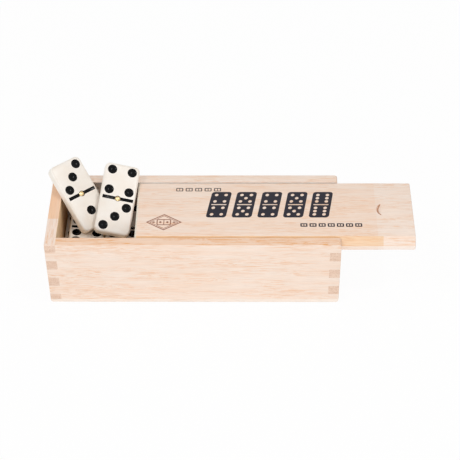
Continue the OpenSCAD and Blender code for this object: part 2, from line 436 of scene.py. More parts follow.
        # Painted light: the groove's faces paler, as if lit in the narrow gap
        far_x, far_y, far_z = self.groove_to
        groove = (z.over(self.groove_from) * (far_z - z).over(0.0)
                  * (far_y - abs(y)).over(0.0) * (far_x - x).over(0.0))
        return graph.blend(groove * self.groove_light_share, base, self.groove_light)

    def colour(self, graph: Graph) -> tuple[Value, Value]:
        """Draws the wood of the faces along the grain.

        Args:
            graph: the tree to work in.

        Returns:
            The colour, and the fibre pattern that the bump takes.
        """
        fields = self.fields(graph)
        fibre = self.fibre.draw(graph, fields)
        base = graph.blend(self.tone(graph, fields), self.pale, self.warm)
        base = graph.blend(self.marks(graph, fields), self.tint(graph, base), self.streak)
        shade = fibre.ease(*self.fibre_step) * self.fibre_share + (1 - self.fibre_share)
        grey = graph.value("CombineColor", 0, None, {0: shade, 1: shade, 2: shade})
        return graph.blend(1.0, base, grey, "MULTIPLY"), fibre

    def satin(self, graph: Graph, colour: Value, fibre: Value) -> None:
        """Ends the tree with the wood's satin surface."""
        graph.surface(Base_Color=colour, Roughness=self.roughness + fibre * self.uneven,
                      Specular_IOR_Level=self.gloss, Normal=graph.bump(fibre, *self.relief))

    def paint(self, graph: Graph) -> None:
        """Paints the faces along the grain."""
        self.satin(graph, *self.colour(graph))

    def paint_end(self, graph: Graph) -> None:
        """Paints the faces that the grain runs into.

        Args:
            graph: the tree to fill.
        """
        fields = self.fields(graph)
        pores = self.pores.draw(graph, fields)
        rings = self.rings.draw(graph, fields)
        base = graph.blend(rings.ease(*self.broad_step) * self.ring_share, self.end_pale,
                           self.end_warm)
        colour = graph.blend(pores.ease(*self.pore_step) * self.pore_share, base,
                             self.end_pore)
        graph.surface(Base_Color=colour, Roughness=self.end_roughness,
                      Normal=graph.bump(pores, *self.end_relief))

    def end_material(self) -> bpy.types.Material:
        """The end grain as a new material."""
        return new_material(self.name + "_end", self.paint_end)


@dataclass(frozen=True)
class Figures:
    """A row of bold slanted domino figures, with bare pips and lines."""

    count: int = 5
    pitch: float = 17.6
    first_x: float = 17.1
    middle_y: float = 5.1
    slant: float = 0.16
    half: Pair = (6.9, 13.1)
    corner: float = 2.2
    line_half: Pair = (5.2, 0.45)
    line_corner: float = 0.4
    half_centre: float = 6.6
    pip_step: float = 3.3
    # Where a pip's soft rim ends and begins, from its middle
    pip_rim: Pair = (1.35, 1.1)
    soft: float = 0.12

    def draw(self, x: Value, y: Value) -> Value:
        """Draws the row.

        Args:
            x: the place along the lid.
            y: the place across the lid.

        Returns:
            1 where there is ink, otherwise 0.
        """
        local_y = y - self.middle_y
        row = x - self.first_x - local_y * self.slant
        index = nearest(row, self.pitch, self.count)
        local_x = row - index * self.pitch
        ink = plate(local_x, local_y, self.half, self.corner).ease(self.soft, -self.soft)
        line = plate(local_x, local_y, self.line_half, self.line_corner)
        # A half has four pips, a fifth on every second figure, and six on the last one
        fold_x, fold_y = abs(local_x) - self.pip_step, abs(local_y) - self.half_centre
        odd = (index / 2).maths("FRACT").over(0.25)
        last = index.over(self.count - 1.5)
        pips = fold_x.length_with(abs(fold_y) - self.pip_step).ease(*self.pip_rim)
        pips = pips.most(local_x.length_with(fold_y).ease(*self.pip_rim) * odd)
        pips = pips.most(fold_x.length_with(fold_y).ease(*self.pip_rim) * last)
        return ink * (1 - line.ease(self.soft, -self.soft).most(pips))


@dataclass(frozen=True)
class Blocks:
    """A fine row of small outlined blocks with a line across each."""

    middle: Pair
    count: int
    pitch: float
    weight: float
    half: Pair = (2.4, 1.7)
    corner: float = 0.5
    line_half: float = 1.5
    # How much finer the line is than the rim, and how far the rim is set out
    line_share: float = 0.7
    rim_shift: float = 0.02
    soft: float = 0.1

    def draw(self, x: Value, y: Value) -> Value:
        """Draws the row.

        Args:
            x: the place along the lid.
            y: the place across the lid.

        Returns:
            1 where there is ink, otherwise 0.
        """
        middle_x, middle_y = self.middle
        row = x - middle_x + self.pitch * (self.count - 1) / 2
        local_x = row - nearest(row, self.pitch, self.count) * self.pitch
        local_y = y - middle_y
        outline = plate(local_x, local_y, self.half, self.corner)
        rim = abs(outline + self.weight - self.rim_shift)
        line = plate(local_x, local_y, (self.weight * self.line_share, self.line_half),
                     LINE_CORNER)
        return rim.ease(self.weight + self.soft, self.weight - self.soft).most(
            line.ease(*LINE_RIM))


@dataclass(frozen=True)
class Badge:
    """A small outlined domino lying in a diamond."""

    middle: Pair = (-20.2, -12.7)
    # The diamond is 0 on its rim: its slopes along X and Y, and its reach
    slopes: Pair = (0.55, 0.84)
    reach: float = 6.4
    inset: float = 1.1
    half: Pair = (4.6, 2.6)
    corner: float = 0.8
    line_half: Pair = (0.26, 2.4)
    pip_x: float = 2.4
    stud_x: float = 7.0
    # Where each part's ink ends and where it is full
    rim: Pair = (0.48, 0.26)
    inner_rim: Pair = (0.3, 0.14)
    tile_rim: Pair = (0.46, 0.24)
    pip_rim: Pair = (0.95, 0.7)
    stud_rim: Pair = (1.1, 0.85)
    stud_flat: float = 1.5

    def draw(self, x: Value, y: Value) -> Value:
        """Draws the badge.

        Args:
            x: the place along the lid.
            y: the place across the lid.

        Returns:
            1 where there is ink, otherwise 0.
        """
        local_x, local_y = x - self.middle[0], y - self.middle[1]
        diamond = abs(local_x) * self.slopes[0] + abs(local_y) * self.slopes[1] - self.reach
        rim = abs(diamond).ease(*self.rim)
        inner = abs(diamond + self.inset).ease(*self.inner_rim)
        tile = abs(plate(local_x, local_y, self.half, self.corner)).ease(*self.tile_rim)
        line = plate(local_x, local_y, self.line_half, LINE_CORNER).ease(*LINE_RIM)
        pips = (abs(local_x) - self.pip_x).length_with(local_y).ease(*self.pip_rim)
        studs = (abs(local_x) - self.stud_x).length_with(
            local_y * self.stud_flat).ease(*self.stud_rim)
        return rim.most(inner).most(tile).most(line).most(pips).most(studs)


def plate(x: Value, y: Value, half: Pair, corner: float) -> Value:
    """The distance to a rectangle with round corners.

    Args:
        x: the place from its middle along X.
        y: the place from its middle along Y.
        half: half its size along X and Y.
        corner: the radius of its corners.

    Returns:
        The distance outside it, less than 0 inside.
    """
    over_x = abs(x) - (half[0] - corner)
    over_y = abs(y) - (half[1] - corner)
    outside = over_x.most(0.0).length_with(over_y.most(0.0))
    return outside + over_x.most(over_y).least(0.0) - corner


def nearest(row: Value, pitch: float, count: int) -> Value:
    """The number, from 0, of the nearest of some marks in a row."""
    return (row / pitch + 0.5).maths("FLOOR").most(0.0).least(count - 1.0)


@dataclass(frozen=True)
class LidWood(Wood):
    """The lid's wood, with a printed row of domino figures on its top."""

    ink: Triple = (28, 26, 38)
    stamp: Triple = (134, 64, 32)
    figures: Figures = Figures()
    rows: tuple[Blocks, ...] = (Blocks((2.7, 20.6), 5, 6.6, 0.32),
                                Blocks((93.8, -15.5), 7, 6.2, 0.46))
    badge: Badge = Badge()
    bevel_bounce_tone: Triple = (245, 202, 152)
    groove_bounce_tone: Triple = (255, 208, 152)
    edge_light_tone: Triple = (255, 243, 234)
    end_light_tone: Triple = (255, 249, 234)
    notch_shade_tone: Triple = (182, 124, 82)
    # The notch's shallow side along X, its width and its half length
    notch: Triple = (128.66, 2.6, 6.05)
    # The closing end, the run of its chamfer, and the heights of the top and the bevels
    left: float = -39.64
    end_run: float = 1.25
    top: float = 54.4
    shoulder: float = 49.1
    front_edge: float = 26.3
    back_edge: float = 27.05
    # Where the front bevel's warmest stretch and its painted warm bounce light end, along X,
    # and half the length over which the painted light fades
    groove_end: float = 99.0
    bevel_end: float = 128.6
    bevel_fade: float = 0.2
    # The share of each painted light and shade tone and of the stamp, the free end's on top
    # of the edges'
    edge_light_share: float = 0.3
    free_light_share: float = 0.4
    bevel_bounce_share: float = 0.6
    groove_bounce_share: float = 0.5
    end_light_share: float = 0.9
    notch_shade_share: float = 0.8
    stamp_share: float = 0.92
    # How far under the top the print reaches, and the notch's painted shade sets in and is
    # full
    print_drop: float = 0.2
    wall_drop: Pair = (0.04, 0.2)
    # How far from its arc the wall's painted shade ends and is full, and how far past the
    # ends
    wall_reach: Pair = (1.15, 0.55)
    wall_past: float = 0.2
    wall_before: float = 0.5

    def paint(self, graph: Graph) -> None:
        """Paints the lid's faces along the grain, with its print, painted light on its lower
        edges and painted shade in the thumb notch.

        Args:
            graph: the tree to fill.
        """
        colour, fibre = self.colour(graph)
        x, y, z = graph.place()
        # Painted light: the lid's lower edges paler, more so past the case
        low = (self.shoulder - z).over(0.0) * (
            x.over(self.bevel_end) * self.free_light_share + self.edge_light_share)
        colour = graph.blend(low, colour, self.edge_light_tone)
        # Painted shade on the thumb notch's deep wall
        colour = graph.blend(self.notch_wall_shade(x, y, z) * self.notch_shade_share, colour,
                             self.notch_shade_tone)
        upper = z.over(self.top - self.print_drop)
        ink = self.figures.draw(x, y)
        for row in self.rows:
            ink = ink.most(row.draw(x, y))
        colour = graph.blend(ink * upper, colour, self.ink)
        stamp = self.badge.draw(x, y) * upper
        colour = graph.blend(stamp * self.stamp_share, colour, self.stamp)
        self.satin(graph, colour, fibre)

    def tint(self, graph: Graph, base: Value) -> Value:
        """Paints warm bounce light on the front bevel, and paler painted light on the back
        bevel and on the closing end.

        Args:
            graph: the tree to work in.
            base: the ground tone elsewhere.

        Returns:
            The ground tone that goes under the streaks.
        """
        x, y, z = graph.place()
        # Painted warm bounce light on the front bevel, warmest inside the case's groove
        bevel = ((0.0 - y).over(self.front_edge) * z.over(self.shoulder)
                 * x.ease(self.bevel_end + self.bevel_fade,
                          self.bevel_end - self.bevel_fade))
        base = graph.blend(bevel * self.bevel_bounce_share, base, self.bevel_bounce_tone)
        in_groove = bevel * (self.groove_end - x).over(0.0)
        base = graph.blend(in_groove * self.groove_bounce_share, base, self.groove_bounce_tone)
        # Painted light: the lid's back bevel paler in the narrow gap
        back = y.over(self.back_edge) * z.over(self.shoulder)
        base = graph.blend(back * self.groove_light_share, base, self.groove_light)
        # Painted light: the closing end's chamfer paler
        chamfer = (self.left + self.end_run - x).over(0.0)
        return graph.blend(chamfer * self.end_light_share, base, self.end_light_tone)

    def notch_wall_shade(self, x: Value, y: Value, z: Value) -> Value:
        """Finds the thumb notch's curved wall, where shade is painted.

        Args:
            x: the place along the lid.
            y: the place across the lid.
            z: the height.

        Returns:
            1 on the wall, otherwise 0.
        """
        side, width, half = self.notch
        arc = y * y * (width / half ** 2) + (side - width)
        near = ((x - arc).ease(*self.wall_reach)
                * (half + self.wall_past - abs(y)).over(0.0))
        depth = (self.top - z).ease(*self.wall_drop)
        return (near * depth * z.over(self.shoulder)
                * x.over(side - width - self.wall_before))


@dataclass(frozen=True)
class Ivory(Finish):
    """Cast plastic with a soft, slightly clouded ivory colour."""

    base: Triple = (244, 237, 228)
    clouded: Triple = (241, 231, 219)
    cloud: Cloud = Cloud((9, 9, 9), 3.0)
    cloud_step: Pair = (0.3, 0.7)
    grain: Cloud = Cloud((0.8, 0.8, 0.8))
    roughness: float = 0.28
    uneven: float = 0.06
    relief: Pair = (0.015, 0.3)

    def colour(self, graph: Graph) -> Value:
        """The clouded ivory."""
        cloud = self.cloud.draw(graph, graph.place())
        return graph.blend(cloud.ease(*self.cloud_step), self.base, self.clouded)

    def paint(self, graph: Graph) -> None:
        """Paints the ivory."""
        grain = self.grain.draw(graph, graph.place())
        graph.surface(Base_Color=self.colour(graph),
                      Roughness=self.roughness + grain * self.uneven,
                      Normal=graph.bump(grain, *self.relief))


@dataclass(frozen=True)
class IvorySidePaintedLight(Ivory):
    """The ivory of the tiles' narrow sides: a paler ivory as painted light, and tan, then
    brown, the lower they lie in the wood, as painted warm bounce light and shade.
    """

    # A paler ivory than the faces': painted light on the sides
    base: Triple = (253, 248, 241)
    clouded: Triple = (250, 243, 232)
    shade_tan: Triple = (244, 212, 166)
    shade_brown: Triple = (236, 196, 148)
    # The heights between which each painted shade tone sets in
    shade_tan_between: Pair = (52.0, 28.0)
    shade_brown_between: Pair = (36.0, 31.0)

    def colour(self, graph: Graph) -> Value:
        """Draws the clouded ivory, with painted shade in tan and then brown towards the
        bottom.

        Args:
            graph: the tree to work in.

        Returns:
            The colour.
        """
        z = graph.place()[2]
        colour = graph.blend(z.ease(*self.shade_tan_between), super().colour(graph), self.shade_tan)
        return graph.blend(z.ease(*self.shade_brown_between), colour, self.shade_brown)


@dataclass(frozen=True)
class BlackPaint(Finish):
    """Glossy black paint that fills pips and dividing lines."""

    base: Triple = (3, 3, 4)
    worn: Triple = (8, 8, 10)
    cloud: Cloud = Cloud((1.5, 1.5, 1.5))
    cloud_step: Pair = (0.4, 0.8)
    roughness: float = 0.08
    uneven: float = 0.08
    gloss: float = 0.13
    relief: Pair = (0.03, 0.3)

    def paint(self, graph: Graph) -> None:
        """Paints the black.

        Args:
            graph: the tree to fill.
        """
        cloud = self.cloud.draw(graph, graph.place())
        colour = graph.blend(cloud.ease(*self.cloud_step), self.base, self.worn)
        graph.surface(Base_Color=colour, Roughness=self.roughness + cloud * self.uneven,
                      Specular_IOR_Level=self.gloss, Normal=graph.bump(cloud, *self.relief))


@dataclass(frozen=True)
class Brass(Finish):
    """Turned brass, bright on its dome."""

    base: Triple = (240, 216, 168)
    dull: Triple = (212, 180, 128)
    cloud: Cloud = Cloud((0.7, 0.7, 0.7))
    cloud_step: Pair = (0.35, 0.75)
    roughness: float = 0.2
    uneven: float = 0.12

    def paint(self, graph: Graph) -> None:
        """Paints the brass.

        Args:
            graph: the tree to fill.
        """
        cloud = self.cloud.draw(graph, graph.place())
        colour = graph.blend(cloud.ease(*self.cloud_step), self.base, self.dull)
        graph.surface(Base_Color=colour, Metallic=1.0,
                      Roughness=self.roughness + cloud * self.uneven)


def new_material(name: str, paint: Callable[[Graph], None]) -> bpy.types.Material:
    """Makes a material.

    Args:
        name: the material's name.
        paint: fills the material's tree.

    Returns:
        The new material.
    """
    material = bpy.data.materials.new(name)
    material.use_nodes = True
    paint(Graph(material.node_tree))
    return material


# ---- Modelling ----


class Boolean(Enum):
    """What another piece does to a piece."""

    ADD = "UNION"
    CUT = "DIFFERENCE"


class Bench:
    """Models pieces with Blender's own operators. Places are in millimetres."""

    @staticmethod
    def clear() -> None:
        """Leaves object mode on and nothing selected."""
        if bpy.context.object and bpy.context.object.mode != "OBJECT":
            bpy.ops.object.mode_set(mode="OBJECT")
        bpy.ops.object.select_all(action="DESELECT")

    @staticmethod
    def pick(piece: Piece) -> None:
        """Makes the piece the only selected and active one.

        Args:
            piece: the piece.
        """
        Bench.clear()
        piece.select_set(True)
        bpy.context.view_layer.objects.active = piece

    @staticmethod
    def settle(piece: Piece) -> Piece:
        """Moves a piece's place, turn and scale into its mesh.

        Args:
            piece: the piece.

        Returns:
            The same piece.
        """
        Bench.pick(piece)
        bpy.ops.object.transform_apply(location=True, rotation=True, scale=True)
        return piece

    @staticmethod
    def block(name: str, low: Sequence[float], high: Sequence[float]) -> Piece:
        """A block between two corners.

        Args:
            name: the object's name.
            low: its lowest corner.
            high: its highest corner.

        Returns:
            The block, settled at the origin.
        """
        Bench.clear()
        middle = [(a + b) / 2 * MM for a, b in zip(low, high)]
        bpy.ops.mesh.primitive_cube_add(size=1, location=middle)
        piece = bpy.context.object
        piece.name = name
        piece.scale = [(b - a) * MM for a, b in zip(low, high)]
        return Bench.settle(piece)

    @staticmethod
    def rod(radius: float, low: float, high: float, sides: int = 32) -> Piece:
        """An upright round rod about the origin.

        Args:
            radius: its radius.
            low: the height of its lower end.
            high: the height of its upper end.
            sides: the number of faces round it.

        Returns:
            The rod, settled at the origin.
        """
        Bench.clear()
        bpy.ops.mesh.primitive_cylinder_add(
            vertices=sides, radius=radius * MM, depth=(high - low) * MM,
            location=(0, 0, (high + low) / 2 * MM))
        return Bench.settle(bpy.context.object)

    @staticmethod
    def ball(radius: float, middle: Sequence[float], rings: int) -> Piece:
        """A ball.

        Args:
            radius: its radius.
            middle: its middle.
            rings: the number of rings of faces between its poles.

        Returns:
            The ball, settled at the origin.
        """
        Bench.clear()
        bpy.ops.mesh.primitive_uv_sphere_add(
            segments=32, ring_count=rings, radius=radius * MM,
            location=[value * MM for value in middle])
        return Bench.settle(bpy.context.object)

    @staticmethod
    def mark(piece: Piece, edges: Optional[Test] = None,
             faces: Optional[Test] = None) -> None:
        """Opens edit mode with only some edges or faces selected.

        Args:
            piece: the piece to edit.
            edges: tells by an edge's middle whether it is selected.
            faces: tells by a face's normal whether it is selected.
        """
        Bench.pick(piece)
        bpy.ops.object.mode_set(mode="EDIT")
        bpy.ops.mesh.select_mode(type="EDGE" if edges else "FACE")
        bpy.ops.mesh.select_all(action="DESELECT")
        mesh = bmesh.from_edit_mesh(piece.data)
        for edge in mesh.edges if edges else ():
            if edges((edge.verts[0].co + edge.verts[1].co) / (2 * MM)):
                edge.select_set(True)
        for face in mesh.faces if faces else ():
            if faces(face.normal):
                face.select_set(True)
        bmesh.update_edit_mesh(piece.data)

    @staticmethod
    def soften(piece: Piece, edges: Test, width: float, steps: int = 3) -> None:
        """Bevels some edges, round where steps is over 1.

        Args:
            piece: the piece to edit.
            edges: tells by an edge's middle whether it is bevelled.
            width: how far the bevel reaches from the edge.
            steps: the number of strips in the bevel.
        """
        Bench.mark(piece, edges)
        bpy.ops.mesh.bevel(offset=width * MM, offset_type="OFFSET", segments=steps,
                           profile=0.5, affect="EDGES")
        bpy.ops.object.mode_set(mode="OBJECT")

    @staticmethod
    def slice(piece: Piece, place: Sequence[float], normal: Sequence[float],
              upper: bool) -> None:
        """Cuts a piece through and closes the part that stays.

        Args:
            piece: the piece to cut.
            place: a point on the cut.
            normal: the way that the cut faces.
            upper: keeps the part that the normal points to, or else the other one.
        """
        Bench.mark(piece, faces=lambda way: True)
        bpy.ops.mesh.bisect(plane_co=[value * MM for value in place], plane_no=normal,
                            clear_inner=upper, clear_outer=not upper, use_fill=True)
        bpy.ops.object.mode_set(mode="OBJECT")

    @staticmethod
    def combine(piece: Piece, other: Piece, action: Boolean) -> None:
        """Adds another piece to this one or cuts it away, and removes it.

        Args:
            piece: the piece that stays.
            other: the piece that is used up.
            action: what it does.
        """
        Bench.pick(piece)
        modifier = piece.modifiers.new("combine", "BOOLEAN")
        modifier.operation = action.value
        modifier.solver = "EXACT"
        modifier.object = other
        bpy.ops.object.modifier_apply(modifier=modifier.name)
        bpy.data.objects.remove(other, do_unlink=True)

    @staticmethod
    def cut(piece: Piece, *cutters: Piece) -> None:
        """Takes the cutters away from the piece and removes them."""
        Bench.combine(piece, Bench.join(cutters, "cutter"), Boolean.CUT)

    @staticmethod
    def smooth(piece: Piece, degrees: float = 30) -> None:
        """Shades the piece smooth up to an angle between faces."""
        Bench.pick(piece)
        bpy.ops.object.shade_smooth_by_angle(angle=math.radians(degrees))

    @staticmethod
    def coat(piece: Piece, *materials: bpy.types.Material) -> None:
        """Gives a piece these materials only."""
        piece.data.materials.clear()
        for material in materials:
            piece.data.materials.append(material)

    @staticmethod
    def copy(piece: Piece, name: str, place: Matrix) -> Piece:
        """A copy with its own mesh.

        Args:
            piece: the piece to copy.
            name: the copy's name.
            place: the move and turn that go into the copy's mesh.

        Returns:
            The copy.
        """
        twin = piece.copy()
        twin.data = piece.data.copy()
        twin.name = name
        twin.data.transform(place)
        bpy.context.scene.collection.objects.link(twin)
        return twin

    @staticmethod
    def join(pieces: Sequence[Piece], name: str) -> Piece:
        """Joins pieces into one object.

        Args:
            pieces: one piece or more.
            name: the object's name.

        Returns:
            The joined object.
        """
        Bench.clear()
        for piece in pieces:
            piece.select_set(True)
        bpy.context.view_layer.objects.active = pieces[0]
        if len(pieces) > 1:
            bpy.ops.object.join()
        pieces[0].name = name
        return pieces[0]


def dress_board(piece: Piece, wood: Wood) -> None:
    """Shades a board and gives it its wood, with end grain where the grain meets a face.

    Args:
        piece: the board.
        wood: its wood.
    """
    Bench.smooth(piece)
    Bench.coat(piece, wood.material(), wood.end_material())
    for face in piece.data.polygons:
        face.material_index = int(abs(face.normal[wood.axis.value]) > END_GRAIN)


# ---- Case ----


class Flank(Enum):
    """The two long sides, each with the way from the middle to it along Y."""

    FRONT = -1
    BACK = 1


@dataclass
class Case:
    """The four finger-jointed boards and the bottom board."""

    length: float = 200.0
    width: float = 71.8
    height: float = 54.5
    wall: float = 7.5
    bottom: float = 3.0
    bottom_round: float = 2.5
    side_round: float = 2.0
    round_steps: int = 8
    # The heights of the joints, and the numbers of the rows of fingers between them
    joints: tuple[float, ...] = (3.0, 8.2, 16.1, 24.0, 31.9, 39.8, 47.7, 54.5)
    even_rows: tuple[int, ...] = (0, 2, 4, 6)
    odd_rows: tuple[int, ...] = (1, 3, 5)
    groove_floor: float = 45.5
    groove_depth: float = 2.9
    groove_shoulder: float = 50.455
    # The upright strip that the groove's slope leaves under the top
    land: float = 0.8
    arris: float = 0.45
    # How far a cutter runs past a board
    over: float = 1.0

    def row(self, index: int) -> Pair:
        """Where a row of fingers begins and ends in height, run past the board."""
        foot, *joints, top = self.joints
        return (foot - self.over, *joints, top + self.over)[index:index + 2]

    def groove_cutter(self, flank: Flank) -> Piece:
        """Makes the shape of one dovetail groove.

        Args:
            flank: the side that the groove is in.

        Returns:
            The cutter.
        """
        way, inside = flank.value, self.width / 2 - self.wall
        depth = inside + self.groove_depth
        ends = sorted((way * (inside - self.over), way * depth))
        cutter = Bench.block("groove", (-self.length / 2 + self.wall, ends[0],
                                        self.groove_floor),
                             (self.length / 2 + self.over, ends[1],
                              self.height + self.over))
        run = self.height - self.land - self.groove_shoulder
        slope = Vector((0, way * run, self.groove_depth)).normalized()
        Bench.slice(cutter, (0, way * depth, self.groove_shoulder), slope, False)
        return cutter

    def notches(self, low: Pair, high: Pair, rows: Sequence[int]) -> list[Piece]:
        """Cutters over some rows of fingers, between two places in X and Y."""
        return [Bench.block("notch", (*low, self.row(i)[0]), (*high, self.row(i)[1]))
                for i in rows]

    def side(self, flank: Flank) -> Piece:
        """Makes one long side.

        Args:
            flank: the side to make.

        Returns:
            The board.
        """
        half, outside, over = self.length / 2, self.width / 2, self.over
        low, high = sorted(flank.value * y for y in (outside - self.wall, outside))
        board = Bench.block("side", (-half, low, self.bottom), (half, high, self.height))
        Bench.soften(board, lambda middle: middle.x > half - NEAR
                     and middle.z > self.height - NEAR, self.side_round, self.round_steps)
        Bench.soften(board, lambda middle: abs(middle.y) > outside - NEAR
                     and middle.z > self.bottom + NEAR, self.arris)
        left = self.notches((-half - over, low - over), (-half + self.wall, high + over),
                            self.even_rows)
        right = self.notches((half - self.wall, low - over), (half + over, high + over),
                             self.odd_rows)
        Bench.cut(board, *left, *right)
        Bench.cut(board, self.groove_cutter(flank))
        return board

    def end_notches(self, low: float, high: float, rows: Sequence[int]) -> list[Piece]:
        """Makes cutters for the places that the sides' fingers take in an end board.

        Args:
            low: where they begin along X.
            high: where they end along X.
            rows: the numbers of the rows.

        Returns:
            The cutters.
        """
        inside, outside = self.width / 2 - self.wall, self.width / 2 + self.over
        return (self.notches((low, -outside), (high, -inside), rows)
                + self.notches((low, inside), (high, outside), rows))

    def left_end(self) -> Piece:
        """Makes the end board at the open well, which stands as high as the sides.

        Returns:
            The board.
        """
        half, outside = self.length / 2, self.width / 2
        inner = -half + self.wall
        board = Bench.block("left", (-half, -outside, self.bottom),
                            (inner, outside, self.height))
        # The edges where two of the top, the outside and the ends meet
        Bench.soften(board, lambda middle: (middle.z > self.height - NEAR)
                     + (middle.x < -half + NEAR)
                     + (abs(middle.y) > outside - NEAR) > 1, self.arris)
        Bench.cut(board, *self.end_notches(-half - self.over, inner + LAP, self.odd_rows))
        return board

    def right_end(self) -> Piece:
        """Makes the end board that the lid slides over.

        Returns:
            The board.
        """
        half, outside, inside = self.length / 2, self.width / 2, self.width / 2 - self.wall
        inner, foot = half - self.wall, self.joints[1]
        board = Bench.block("right", (inner, -outside, foot),
                            (half, outside, self.joints[-2]))
        Bench.soften(board, lambda middle: middle.x > half - NEAR
                     and abs(middle.y) > outside - NEAR, self.arris)
        Bench.combine(board, Bench.block("toe", (inner, -inside, self.bottom),
                                         (half, inside, foot + LAP)), Boolean.ADD)
        lid_half = inside + self.groove_depth
        Bench.cut(board, Bench.block("top", (inner - self.over, -lid_half,
                                             self.groove_floor),
                                     (half + self.over, lid_half, self.height)))
        Bench.cut(board, *self.end_notches(inner - LAP, half + self.over,
                                           self.even_rows[1:-1]))
        return board

    def bottom_board(self) -> Piece:
        """Makes the bottom board, rounded along both ends.

        Returns:
            The board.
        """
        half, outside = self.length / 2, self.width / 2
        board = Bench.block("bottom", (-half, -outside, 0), (half, outside, self.bottom))
        Bench.soften(board, lambda middle: middle.z < NEAR and abs(middle.x) > half - NEAR,
                     self.bottom_round, self.round_steps)
        Bench.soften(board, lambda middle: middle.z < NEAR
                     and abs(middle.y) > outside - NEAR, self.arris)
        return board

    def build(self) -> None:
        """Builds and dresses the case's boards."""
        boards = {
            "front_side": ("front_side_board", self.side(Flank.FRONT), Wood(
                "front_wood", Axis.X, offset=40.0, bold_from=53.0, groove_from=45.4)),
            "back_side": ("back_side_board", self.side(Flank.BACK), Wood(
                "back_wood", Axis.X, offset=190.0, groove_from=45.4)),
            "left_end": ("left_end_board", self.left_end(), Wood(
                "left_wood", Axis.Y, pale=(250, 229, 214), warm=(249, 207, 173),
                offset=310.0, warmth=-0.2, lengths=((-9.4, 1.0),), bounce_from=-92.6)),
            "right_end": ("right_end_board", self.right_end(), Wood(
                "right_wood", Axis.Y, offset=470.0)),
            "bottom_board": ("bottom_panel", self.bottom_board(), Wood(
                "bottom_wood", Axis.X, pale=(253, 242, 231), warm=(251, 231, 215),
                streaks=0.4, offset=620.0))}
        for node, (name, board, wood) in boards.items():
            board.name = name
            dress_board(board, wood)
            hand_over(board, "case",
                      [node])


def hand_over(piece: Piece, body: str,
              nodes: Sequence[str]) -> None:
    """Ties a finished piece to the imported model.

    Args:
        piece: the piece.
        body: the body that it moves with.
        nodes: the nodes that it stands for.
    """
    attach(piece, body)
    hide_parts(*nodes)
    LOG.info("%s: %d faces on %s", piece.name, len(piece.data.polygons), body)


# ---- Lid ----


@dataclass
class Lid:
    """The sliding lid with bevelled long edges and a crescent thumb notch."""

    left: float = -39.6428
    length: float = 190.0
    bottom: float = 45.7
    top: float = 54.4
    edge: float = 3.4
    half: float = 30.8
    bevel: float = 3.95
    # How far the top lies nearer the back, and its edges' softness
    top_shift: float = 0.5
    top_edge: float = 0.35
    end_chamfer: float = 1.2
    notch_inset: float = 21.7
    notch_length: float = 12.1
    notch_width: float = 2.6
    notch_depth: float = 1.5
    notch_reach: float = 12.0
    notch_sides: int = 160
    # How far the free end's and the long edges' corners are softened
    end_soft: float = 0.9
    side_soft: float = 0.35

    def thumb_cutter(self) -> Piece:
        """Makes the slanting round cutter of the thumb notch.

        Returns:
            The cutter.
        """
        slant = math.atan2(self.notch_depth, self.notch_width)
        run = math.hypot(self.notch_depth, self.notch_width)
        radius = (self.notch_length ** 2 / 4 + run * run) / (2 * run)
        cutter = Bench.rod(radius, 0, self.notch_reach, self.notch_sides)
        notch = Vector((self.left + self.length - self.notch_inset, 0, self.top)) * MM
        cutter.data.transform(Matrix.Translation(notch) @ Matrix.Rotation(-slant, 4, "Y")
                              @ Matrix.Translation(Vector((radius - run, 0, 0)) * MM))
        return cutter

    def build(self) -> None:
        """Builds and dresses the lid."""
        right = self.left + self.length
        board = Bench.block("lid_board", (self.left, -self.half, self.bottom),
                            (right, self.half, self.bottom + self.edge))
        Bench.mark(board, faces=lambda normal: normal.z > 0.5)
        bpy.ops.mesh.extrude_region_move(TRANSFORM_OT_translate={
            "value": (0, 0, (self.top - self.bottom - self.edge) * MM)})
        bpy.ops.transform.resize(value=(1, (self.half - self.bevel) / self.half, 1))
        bpy.ops.transform.translate(value=(0, self.top_shift * MM, 0))
        bpy.ops.object.mode_set(mode="OBJECT")
        Bench.soften(board, lambda middle: middle.x < self.left + NEAR
                     and middle.z > self.top - NEAR, self.end_chamfer, 1)
        Bench.soften(board, lambda middle: middle.z > self.top - NEAR
                     and abs(middle.y) > self.half / 2, self.top_edge)
        Bench.soften(board, lambda middle: middle.x > right - NEAR, self.end_soft)
        Bench.soften(board, lambda middle: abs(middle.y) > self.half - NEAR
                     and self.left + NEAR < middle.x < right - self.end_soft - NEAR,
                     self.side_soft)
        Bench.cut(board, self.thumb_cutter())
        dress_board(board, LidWood("lid_wood", Axis.X, offset=55.0, warmth=0.18,
                                   lengths=((125.0, -0.3),)))
        hand_over(board, "lid", ["lid"])


# ---- Tiles ----


class Paint(Enum):
    """The paints of a tile, each with its place in the tile's material slots."""

    FACE = 0
    BLACK = 1
    SIDE = 2


@dataclass(frozen=True)
class Lean:
    """A leaning tile's body, the place of its low corner, and how it lies in degrees."""

    body: str
    foot: Triple
    turn: float
    slope: float
    roll: float

    def matrix(self, width: float, length: float) -> Matrix:
        """Finds the leaning place.

        Args:
            width: the tile's width.
            length: the tile's length.

        Returns:
            The matrix that takes a tile on its back at the origin there.
        """
        return (Matrix.Translation(Vector(self.foot) * MM)
                @ Matrix.Rotation(math.radians(self.turn), 4, "Z")
                @ Matrix.Rotation(math.radians(self.slope), 4, "X")
                @ Matrix.Rotation(math.radians(self.roll), 4, "Y")
                @ Matrix.Translation(Vector((-width / 2, length / 2, 0)) * MM))


